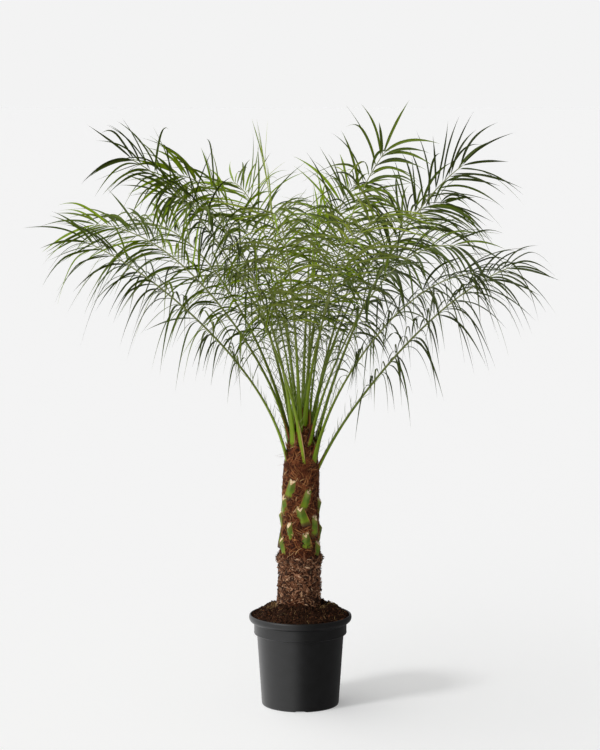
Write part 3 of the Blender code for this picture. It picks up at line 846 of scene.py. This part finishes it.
def make_matting():
    """Threads that cross over the trunk's upper part, each lifting off it by lift * sin(pi t)."""
    draws = np.random.default_rng(5)
    count, stations = THREADS, 8
    height = 0.452 + 0.385 * draws.uniform(0, 1, count) ** 0.85
    angle = draws.uniform(0, math.tau, count)
    side = draws.choice((-1.0, 1.0), count)
    heading = side * np.radians(draws.uniform(8, 80, count))
    length = draws.uniform(0.016, 0.048, count)
    curl = draws.normal(0, 0.8, count)
    angles, heights = walked(angle, height, heading, length, curl, stations)
    t = np.linspace(0, 1, stations)
    lift = 0.0006 + draws.uniform(0.0, 0.0032, (count, 1)) * np.sin(math.pi * t)
    paths = on_trunk(angles, heights, lift)
    half_width = 0.0003 + 0.0014 * draws.uniform(0, 1, count) ** 2.5
    matting = strands(
        "sheath_threads", paths, outward(angles), half_width, 0.4 * half_width, FIBRE_TONES,
        draws.choice(4, count, p=(0.29, 0.45, 0.22, 0.04)),
    )
    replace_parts(matting, "trunk")


def make_old_bark():
    """Curled scraps and threads of old sheath below the ledge: tight curls that spring off the
    trunk by lift * sin(pi t), and round the ledge a fringe whose free ends lift by reach * t^2."""
    draws = np.random.default_rng(8)
    count, fringe, stations = BARK_CURLS, BARK_FRINGE, 8
    height = np.concatenate(
        (draws.uniform(0.300, 0.446, count), draws.uniform(0.432, 0.452, fringe))
    )
    total = count + fringe
    angle = draws.uniform(0, math.tau, total)
    heading = draws.uniform(-math.pi, math.pi, total)
    heading[count:] = draws.normal(0, 0.6, fringe)
    length = draws.uniform(0.010, 0.030, total)
    length[count:] = draws.uniform(0.010, 0.022, fringe)
    curl = draws.normal(0, 2.4, total)
    angles, heights = walked(angle, height, heading, length, curl, stations)
    t = np.linspace(0, 1, stations)
    lift = 0.0004 + draws.uniform(0.001, 0.0070, (total, 1)) * np.sin(math.pi * t)
    lift[count:] = draws.uniform(0.002, 0.0105, (fringe, 1)) * t**1.5
    paths = on_trunk(angles, heights, lift)
    half_width = 0.0004 + 0.0030 * draws.uniform(0, 1, total) ** 2.2
    bark = strands(
        "old_bark_curls", paths, outward(angles), half_width, 0.00022 + 0.15 * half_width,
        BARK_TONES, draws.choice(4, total, p=(0.38, 0.34, 0.19, 0.09)),
    )
    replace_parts(bark, "trunk")


def make_hairs():
    """Fine loose hairs round the crown's foot and the trunk: a straight run bent sideways by
    bend * t^2 and let down by drop * t^3."""
    draws = np.random.default_rng(17)
    count, stations = HAIRS, 9
    height = 0.32 + 0.53 * draws.uniform(0, 1, count)
    angle = draws.uniform(0, math.tau, count)
    foot = on_trunk(angle, height, 0.0 * angle)
    out = outward(angle)
    spin = np.cross(UP, out)
    heading = unit(
        out * draws.uniform(0.5, 1.2, (count, 1)) + UP * draws.uniform(-0.1, 1.5, (count, 1))
        + spin * draws.normal(0, 0.5, (count, 1))
    )
    long, short = draws.uniform(0.010, 0.050, count), draws.uniform(0.004, 0.015, count)
    length = np.where(height > CROWN_FOOT, long, short)[:, None, None]
    t = np.linspace(0, 1, stations)[None, :, None]
    bend = spin[:, None] * draws.normal(0, 0.8, (count, 1, 1)) * t**2
    drop = UP * draws.uniform(-0.2, 0.5, (count, 1, 1)) * t**3
    paths = foot[:, None] + length * (heading[:, None] * t + bend - drop)
    hairs = strands(
        "loose_hairs", paths, spin[:, None], 0.00028, 0.00028, FIBRE_TONES,
        draws.choice(4, count, p=(0.1, 0.35, 0.35, 0.20)), sides=3,
    )
    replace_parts(hairs, "trunk")


# Cut leaf bases

def cut_numbers():
    growing = {row[0] for row in FRONDS}
    return np.array([n for n in range(CUT_LEAVES) if n not in growing])


def base_frames(numbers):
    """Where each cut base sits, and its directions: out from the trunk and across it."""
    height, angle = leaf_height(numbers), leaf_angle(numbers)
    out = outward(angle)
    place = trunk_axis(height) + out * trunk_radius(height - BASE_LENGTH / 2)[:, None]
    return place, out, np.cross(UP, out)


def base_outline(t):
    """A cut base's section at the share t of its height: out = edge + (keel - edge) * (1 - |a|
    softened at the middle), across = a * half the width, with a from -1 to 1, and a flat back."""
    a = np.linspace(-1, 1, FACE_POINTS)
    soft = 1 - (np.sqrt(a**2 + 0.03) - math.sqrt(0.03)) / (math.sqrt(1.03) - math.sqrt(0.03))
    half = (BASE_FOOT_WIDTH + (BASE_TOP_WIDTH - BASE_FOOT_WIDTH) * t) / 2
    edge = 0.0020 + 0.0020 * t
    keel = BASE_FOOT_KEEL + 0.001 + (BASE_STAND - BASE_FOOT_KEEL) * t**0.8
    front = np.stack((edge + (keel - edge) * soft, half * a), axis=-1)
    back = np.array(((-0.010, half), (-0.010, 0.0), (-0.010, -half)))
    return np.concatenate((front, back))


def cut_plane(out):
    """Height of the slanting knife cut over a point so far out: level line minus its slope."""
    return 0.5 * BASE_SLOPE - 1.5 * BASE_SLOPE * (out + 0.012) / (BASE_STAND + 0.012)


def make_leaf_bases():
    """Each cut base is its outline drawn up from foot to cut, a little hollow along its faces;
    the cut face is the top outline again, drawn in and raised by rough noise."""
    numbers = cut_numbers()
    place, out, across = base_frames(numbers)
    draws = np.random.default_rng(23)
    count = len(numbers)
    limits = (0.95, 1.15), (1.05, 1.35), (1.35, 1.75)
    size = np.stack([draws.uniform(*pair, count) for pair in limits], axis=-1)[:, None, None]
    tip, turn = np.radians(draws.uniform(2, 6, count)), np.radians(draws.normal(0, 8, count))
    shares = np.linspace(0, 1, 9)
    outline = np.stack([base_outline(t) for t in shares])
    high = -BASE_LENGTH + shares[:, None] * (BASE_LENGTH + cut_plane(outline[..., 0]))
    local = np.concatenate((outline, high[..., None]), axis=-1)[None] * size

    def placed(shape):
        """Tipped outwards by tip and turned sideways by turn, round the middle of the cut."""
        x, y, z = np.moveaxis(shape, -1, 0)
        x, z = rotated(tip[:, None, None], x, z)
        y, z = rotated(turn[:, None, None], y, z)
        return (
            place[:, None, None] + x[..., None] * out[:, None, None]
            + y[..., None] * across[:, None, None] + z[..., None] * UP
        )

    def closed(name, rings, material, sharp):
        """A piece of these rings, closed at the middles of the first and the last one."""
        middles = (rings[:, end].mean(axis=1) for end in (0, -1))
        points, faces, uv = closed_rings(rings, *middles)
        return piece(
            name, points, faces, [material], uv=uv, along=uv[:, 1], sharp=sharp
        )

    rings = placed(local)
    rough = rings + 0.0007 * layered(rings, 0.012, 41, 2)[..., None] * out[:, None, None]
    nodes = [f"leaf_base_{number + 1:02d}" for number in numbers]
    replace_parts(closed("cut_base_rinds", rough, cut_base_rind(), sharp=38), *nodes)

    top = local[:, -1:]
    middle = top.mean(axis=2, keepdims=True)
    inset = [middle + (top - middle) * scale + (0, 0, rise)
             for scale, rise in ((0.93, -0.001), (0.93, 0.0003), (0.60, 0.0006), (0.30, 0.0004))]
    face = placed(np.concatenate(inset, axis=1))
    face = face + 0.0008 * layered(face, 0.004, 43, 2)[..., None] * UP
    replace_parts(closed("cut_base_ends", face, cut_pith(), sharp=50), *nodes)

    edges = np.concatenate((rough[:, :, 0], rough[:, :, FACE_POINTS - 1]))
    paths = edges + 0.0006 * np.concatenate((-across, across))[:, None]
    facing = np.tile(out, (2, 1))[:, None]
    dry = ("dry_sheath_margin", "#a9783f", "#7d5228")
    margins = strands("cut_base_margins", paths, facing, 0.0011, 0.0007, [dry])
    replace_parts(margins, *nodes)


# Crown

class Crown:
    """All ribs at once. Each lies in an upright plane, its lean from upright being
    foot + (middle - foot) * (1 - (1 - s)^3) + (tip - middle) * s^4 for s from 0 to 1."""

    def __init__(self, rows):
        number, heading, foot, middle, tip, roll, self.length, self.sag = np.array(rows, float).T
        self.leans = np.radians((foot, middle, tip))
        self.roll = np.radians(roll)
        self.out = outward(np.radians(heading))
        self.spear = number >= SPEARS[0][0]
        self.start = np.where(self.spear, SPEAR_START, RACHIS_START)
        self.age = (number - FRONDS[0][0]) / (SPEARS[-1][0] - FRONDS[0][0])
        self.bulk = 1 - YOUNG_SLIMNESS * self.age
        height, angle = leaf_height(number), leaf_angle(number)
        reach = np.maximum(0, trunk_radius(height) - FOOT_SINK)
        root = trunk_axis(height) + reach[:, None] * outward(angle)
        shares = np.linspace(0, 1, RIB_STEPS + 1)
        middles = (shares[1:] + shares[:-1]) / 2
        steps = self.along(np.arange(len(rows))[:, None], middles)
        steps = steps * self.length[:, None, None] / RIB_STEPS
        start = np.zeros((len(rows), 1, 3))
        self.places = root[:, None] + np.concatenate((start, np.cumsum(steps, axis=1)), axis=1)

    def along(self, f, s):
        foot, middle, tip = (lean[f] for lean in self.leans)
        lean = foot + (middle - foot) * (1 - (1 - s) ** 3) + (tip - middle) * s**4
        return np.sin(lean)[..., None] * self.out[f] + np.cos(lean)[..., None] * UP

    def at(self, f, s):
        """Place, along, across and upper at the share s of rib f, rolled evenly along it."""
        step = np.clip(s * RIB_STEPS, 0, RIB_STEPS - 0.001)
        low = step.astype(int)
        part = (step - low)[..., None]
        place = self.places[f, low] * (1 - part) + self.places[f, low + 1] * part
        along = self.along(f, s)
        level = np.cross(UP, self.out[f])
        across, _ = rotated((self.roll[f] * s)[..., None], level, np.cross(along, level))
        return place, along, across, np.cross(along, across)

    def section(self, f, s):
        shares, widths, depths = np.array(RIB_SECTIONS).T
        bulk = self.bulk[f]
        return bulk * np.interp(s, shares, widths), bulk * np.interp(s, shares, depths)


def make_ribs(crown):
    """Rib section: across = cos a, with |cos a|^0.8, and upper = sin a: a low crown above, as
    0.8 |sin a|^0.6, and a keel below, as 1.15 |sin a|^1.35. It is widest and keeled at the foot."""
    count, stations, sides = len(crown.out), 84, 14
    shares = np.concatenate(((0.0,), np.linspace(0, 1, stations) ** 1.15, (1.0,)))
    f = np.arange(count)[:, None]
    place, _, across, upper = crown.at(f, shares)
    width, depth = (v[:, 1:-1, None] / 2 for v in crown.section(f, shares))
    turn = circle(sides, 0.5)
    cosine, sine = np.cos(turn), np.sin(turn)
    wide = width * np.sign(cosine) * np.abs(cosine) ** 0.8
    high = depth * np.where(sine > 0, 0.8 * np.abs(sine) ** 0.6, -1.15 * np.abs(sine) ** 1.35)
    points, faces, uv = swept(place, across, upper, wide, high)
    return piece(
        "frond_ribs", points, faces, [rib_rind()], uv=uv, along=uv[:, 1], sharp=50
    )


def rows_along(fronds, shares_of):
    """One entry for each thing along both sides of the ribs: its frond, its share and side."""
    rows = [(f, side, shares_of(f)) for f in fronds for side in (-1, 1)]
    sizes = [len(shares) for _, _, shares in rows]
    f, side = np.repeat([row[:2] for row in rows], sizes, axis=0).T
    return f, np.concatenate([shares for _, _, shares in rows]), side


def leaving(along, across, upper, side, spread, raised):
    """Directions that leave a rib sideways, spread degrees from it and raised by so many."""
    spread, raised = (np.radians(angle)[:, None] for angle in (spread, raised))
    outwards = np.cos(raised) * side[:, None] * across + np.sin(raised) * upper
    return unit(np.cos(spread) * along + np.sin(spread) * outwards)


def leaflet_length(u):
    return LEAFLET_LENGTH * np.sin(math.pi * (ARC_START + ARC_SPAN * u)) ** ARC_POWER


def leaflet_paths(crown, f, u, side, draws):
    """Each leaflet leaves the rib at its spread, raised a little, and its weight bends it down.
    The path is the curve (1-t)^2 root + 2t(1-t) knee + t^2 tip, then swayed, and let down by
    hang * (t - bend)^2 beyond its bend; about one in six folds over sharply there."""
    n = len(f)
    s = crown.start[f] + (1 - crown.start[f]) * u
    place, along, across, upper = crown.at(f, s)
    width, _ = crown.section(f, s)
    spear = crown.spear[f]
    open_by = BASAL_SPREAD + (TIP_SPREAD - BASAL_SPREAD) * u + draws.normal(0, 1, n) * (11 - 5 * u)
    spread = np.where(spear, SPEAR_SPREAD * draws.uniform(0.0, 0.7, n), open_by)
    spread = np.where(u == 1, END_SPREAD, spread)
    any_way = draws.uniform(-60, 60, n)
    raised = np.where(spear, any_way, RAISE + draws.normal(0, 1, n) * (18 - 9 * u))
    near = leaving(along, across, upper, side, spread, raised)
    sag = crown.sag[f] * (BASAL_SAG + (TIP_SAG - BASAL_SAG) * u) * draws.uniform(0.5, 1.3, n)
    far = unit(near - sag[:, None] * UP)
    length = np.where(u == 1, END_LEAFLET, leaflet_length(u)) * draws.uniform(0.84, 1.12, n)
    length = (length * np.where(spear, SPEAR_REACH, 1))[:, None]
    root = place + side[:, None] * across * (width * 0.30)[:, None]
    knee = root + near * length * LEAFLET_BEND
    tip = knee + far * length * (1 - LEAFLET_BEND)
    t = np.linspace(0, 1, LEAFLET_STATIONS)[None, :, None]
    paths = (1 - t) ** 2 * root[:, None] + 2 * t * (1 - t) * knee[:, None] + t**2 * tip[:, None]
    broad = unit(np.cross(upper, near))
    sway = draws.normal(0, 0.11, (n, 1, 1)) * length[:, None] * broad[:, None] * t**2.4
    folded = draws.uniform(0, 1, (n, 1, 1)) < np.where(u == 1, 0, FOLDED_SHARE)[:, None, None]
    bend = np.where(folded, draws.uniform(0.45, 0.70, (n, 1, 1)), 0.25)
    loose = draws.uniform(0.02, 0.60, (n, 1, 1)) * (1 - 0.7 * (u == 1))[:, None, None]
    hang = np.where(folded, FOLDED_HANG, loose)
    hang = hang * (1 - 0.8 * spear[:, None, None])
    droop = hang * sag[:, None, None] ** 0.5 * length[:, None] * np.maximum(t - bend, 0) ** 2 * UP
    return paths + sway - droop, upper, along, near


def make_leaflets(crown, name, wanted):
    """A leaflet's section is a V of two thin blades, wide = w cos(fold), high = w sin(fold),
    closed by the midrib above and below. Its half width w rises fast from the root, holds, and
    narrows by a smooth step to a long fine end; the fold opens to the middle. It twists evenly."""
    draws = np.random.default_rng(2)

    def shares_of(frond):
        """A pitch apart, a little unevenly, often in pairs, and an end leaflet at 1."""
        leafy = (1 - crown.start[frond]) * crown.length[frond]
        count = int(leafy / LEAFLET_PITCH * (SPEAR_COUNT if crown.spear[frond] else 1))
        k = np.arange(count) + 0.5 + 0.22 * (-1) ** np.arange(count)
        u = np.clip((k + draws.uniform(-0.3, 0.3, count)) / count, 0, 0.99) ** 0.92
        return np.append(u, 1.0)

    f, u, side = rows_along(wanted, shares_of)
    n = len(f)
    paths, upper, along, near = leaflet_paths(crown, f, u, side, draws)
    lean = np.radians(draws.normal(18, 22, n))[:, None]
    facing = unit(rotated(lean, upper, along)[0])
    onward = unit(np.gradient(paths, axis=1))
    flat = unit(np.cross(facing, near))[:, None]
    broad = unit(flat - dot(flat, onward) * onward)
    face = np.cross(onward, broad)
    t = np.linspace(0, 1, LEAFLET_STATIONS)[None, :, None]
    twist = np.radians(draws.normal(0, LEAFLET_TWIST, (n, 1, 1))) * t
    broad, face = rotated(twist, broad, face)
    t = t[:, 1:-1, 0]
    age = crown.age[f]
    size = np.where(u == 1, 1.1, 0.80 + 0.14 * u) * draws.uniform(0.65, 1.2, n)
    size = size * (0.85 + 0.38 * age)
    size = LEAFLET_WIDTH / 2 * size * np.where(crown.spear[f], SPEAR_WIDTH, 1)
    rise = 0.45 + 0.55 * np.sin(np.minimum(t / 0.3, 1) * math.pi / 2)
    fall = np.clip((t - 0.55) / 0.45, 0, 1)
    half = size[:, None] * rise * (1 - 0.80 * fall**2 * (3 - 2 * fall)) * (1 - t**12)
    fold = np.radians(18 + 36 * (1 - np.minimum(t / 0.2, 1)) + 8 * t) * np.ones((n, 1))
    thick = LEAFLET_THICKNESS / 2 * (1 - 0.8 * t) * np.ones((n, 1))
    none = 0 * half
    wide = np.stack((half * np.cos(fold), none, -half * np.cos(fold), none), axis=-1)
    high = np.stack((half * np.sin(fold), thick, half * np.sin(fold), -thick), axis=-1)
    points, faces, uv = swept(paths, broad, face, wide, high)
    # Painted light: leaflets on fronds that head left, towards the lamps, get lighter tones. The
    # frond's age and chance set the rest of the tone.
    painted_light_share = -crown.out[f, 0]
    tone = age * 3.2 - 0.4 + 0.7 * painted_light_share + draws.normal(0, 0.7, n)
    youngest = len(LEAF_TONES) - 1
    tone = np.clip(np.round(tone), 0, youngest - 1).astype(int)
    tone = np.where(crown.spear[f], youngest, tone)
    under = np.array((0, 0, 1, 1))
    each = [
        (2 * tone[:, None] + np.tile(under, len(block) // n // 4)).ravel() for block in faces
    ]
    return piece(
        name, points, faces, leaf_finishes(), finish_of=np.concatenate(each), uv=uv, sharp=30
    )


def make_spines(crown):
    """Slim thorns along both edges of the bare stalk: leaflets that never opened, longer the
    nearer they are to the first true ones, each bent forward by bend * t^2."""
    draws = np.random.default_rng(29)

    def shares_of(_):
        return np.linspace(0.09, RACHIS_START, THORNS) + draws.uniform(-0.006, 0.006, THORNS)

    f, s, side = rows_along(np.flatnonzero(~crown.spear), shares_of)
    n = len(f)
    place, along, across, upper = crown.at(f, s)
    width, _ = crown.section(f, s)
    spread, raised = draws.uniform(28, 62, n), draws.uniform(0, 55, n)
    near = leaving(along, across, upper, side, spread, raised)
    length = 0.022 + 0.045 * (s / RACHIS_START) * draws.uniform(0.6, 1.1, n)
    root = place + side[:, None] * across * (width * 0.40)[:, None]
    t = np.linspace(0, 1, 7)[None, :, None]
    bend = along[:, None] * draws.uniform(-0.1, 0.3, (n, 1, 1)) * t**2
    paths = root[:, None] + length[:, None, None] * (near[:, None] * t + bend)
    dry = ("thorn_straw", "#808b4e", "#67743a")
    return strands("stalk_thorns", paths, upper[:, None], 0.0010, 0.0007, [dry])


def make_sheaths(crown):
    """Torn edges of the leaf sheaths: dry brown tongues that rise beside each stalk's foot,
    following it, and curl away at their points by curl * t^2."""
    draws = np.random.default_rng(37)
    fronds = np.repeat(np.arange(len(crown.out)), TONGUES)
    side = np.tile((-1.0, 1.0), len(fronds) // 2)
    n = len(fronds)
    t = np.linspace(0, 1, 9)[None, :]
    reach = draws.uniform(0.05, 0.12, (n, 1))
    s = reach * t + 0.004
    f = fronds[:, None]
    place, _, across, upper = crown.at(f, s)
    width, _ = crown.section(f, s)
    beside = side[:, None, None] * across * (width * 0.52)[..., None]
    curl = side[:, None, None] * across * draws.uniform(0.0, 0.010, (n, 1, 1)) * (t**2)[..., None]
    back = -upper * draws.uniform(-0.004, 0.004, (n, 1, 1))
    paths = place + beside + curl + back
    half = draws.uniform(0.0015, 0.0042, n)
    return strands(
        "sheath_tongues", paths, upper, 0.0009, half, FIBRE_TONES,
        draws.choice(4, n, p=(0.35, 0.45, 0.15, 0.05)), sides=6,
    )


# Studio

def make_studio():
    """Camera, pale floor, and a surround that is a wide white panel on the left and dark on the
    right, with a pale backdrop for the camera alone."""
    scene = bpy.context.scene
    scene.view_settings.view_transform = "Standard"
    lens = bpy.data.cameras.new("camera")
    lens.lens = CAMERA_LENS
    lens.sensor_width = 36.0
    lens.clip_end = 10000.0
    camera = bpy.data.objects.new("camera", lens)
    camera.location = CAMERA_PLACE
    camera.rotation_euler = (math.radians(90 - CAMERA_PITCH), 0, 0)
    scene.collection.objects.link(camera)
    scene.camera = camera

    world = bpy.data.worlds.new("studio")
    scene.world = world
    world.use_nodes = True
    tree = world.node_tree
    around = tree.nodes["Background"]
    around.inputs["Color"].default_value = (1, 1, 1, 1)
    facing = node(tree, "SeparateXYZ", {0: node(tree, "TexCoord").outputs["Generated"]})
    panel = node(tree, "MapRange", {
        "Value": facing.outputs[0], "From Min": PANEL_EDGE[0], "From Max": PANEL_EDGE[1],
        "To Min": PANEL_LIGHT, "To Max": DARK_SIDE,
    }, interpolation_type="SMOOTHSTEP")
    tree.links.new(panel.outputs[0], around.inputs["Strength"])
    seen = node(tree, "Background", {"Color": colour(BACKDROP), "Strength": 1.0})
    camera_ray = node(tree, "LightPath").outputs["Is Camera Ray"]
    mix = node(tree, "MixShader", {0: camera_ray, 1: around.outputs[0], 2: seen.outputs[0]})
    tree.links.new(mix.outputs[0], tree.nodes["World Output"].inputs[0])

    corners = FLOOR_HALF * np.array(((-1, -1, 0), (1, -1, 0), (1, 1, 0), (-1, 1, 0)))
    mesh = bpy.data.meshes.new("floor")
    mesh.from_pydata(corners.tolist(), [], [(0, 1, 2, 3)])
    mesh.materials.append(studio_floor())
    floor = bpy.data.objects.new("floor", mesh)
    floor.visible_glossy = False
    scene.collection.objects.link(floor)
    return floor


def make_keys(floor):
    """Two soft lamps from the same side on the left, equally bright on level ground: one lights
    the plant, and the other lights the floor alone and is shaded by the pot and the soil alone,
    as the photo's floor is."""
    scene = bpy.context.scene
    on_level = KEY_STRENGTH * math.sin(math.radians(KEY_HEIGHT))
    plant = [obj for obj in scene.objects if obj.type == "MESH" and obj is not floor]
    shading = [obj for obj in plant if obj.name.startswith(("pot_", "peat_mound"))]
    for name, height, softness, lit, shaded_by in (
        ("plant_key", KEY_HEIGHT, KEY_SOFTNESS, plant, plant),
        ("floor_key", FLOOR_KEY_HEIGHT, FLOOR_KEY_SOFTNESS, [floor], shading),
    ):
        sun = bpy.data.lights.new(name, "SUN")
        sun.energy = on_level / math.sin(math.radians(height))
        sun.angle = math.radians(softness)
        key = bpy.data.objects.new(name, sun)
        key.rotation_euler = (math.radians(90 - height), 0, math.radians(KEY_SIDE))
        scene.collection.objects.link(key)
        for part, objects in (("receiver", lit), ("blocker", shaded_by)):
            linked = bpy.data.collections.new(f"{name}_{part}s")
            for obj in objects:
                linked.objects.link(obj)
            setattr(key.light_linking, f"{part}_collection", linked)


def make_crown():
    """Ribs, leaflets of the open leaves and of the spears, thorns, and sheaths."""
    crown = Crown(FRONDS + SPEARS)
    fronds = [f"frond_{k + 1:02d}" for k in range(len(FRONDS))]
    spears = [f"spear_{k + 1}" for k in range(len(SPEARS))]
    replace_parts(make_ribs(crown), *fronds, *spears)
    open_ones, folded_ones = np.flatnonzero(~crown.spear), np.flatnonzero(crown.spear)
    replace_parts(make_leaflets(crown, "leaflets", open_ones), *fronds)
    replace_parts(make_leaflets(crown, "spear_leaflets", folded_ones), *spears)
    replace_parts(make_spines(crown), *fronds)
    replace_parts(make_sheaths(crown), "trunk")


floor = make_studio()
make_pot()
make_soil()
make_crumbs()
make_peat_fibres()
make_trunk()
make_matting()
make_old_bark()
make_hairs()
make_leaf_bases()
make_crown()
make_keys(floor)
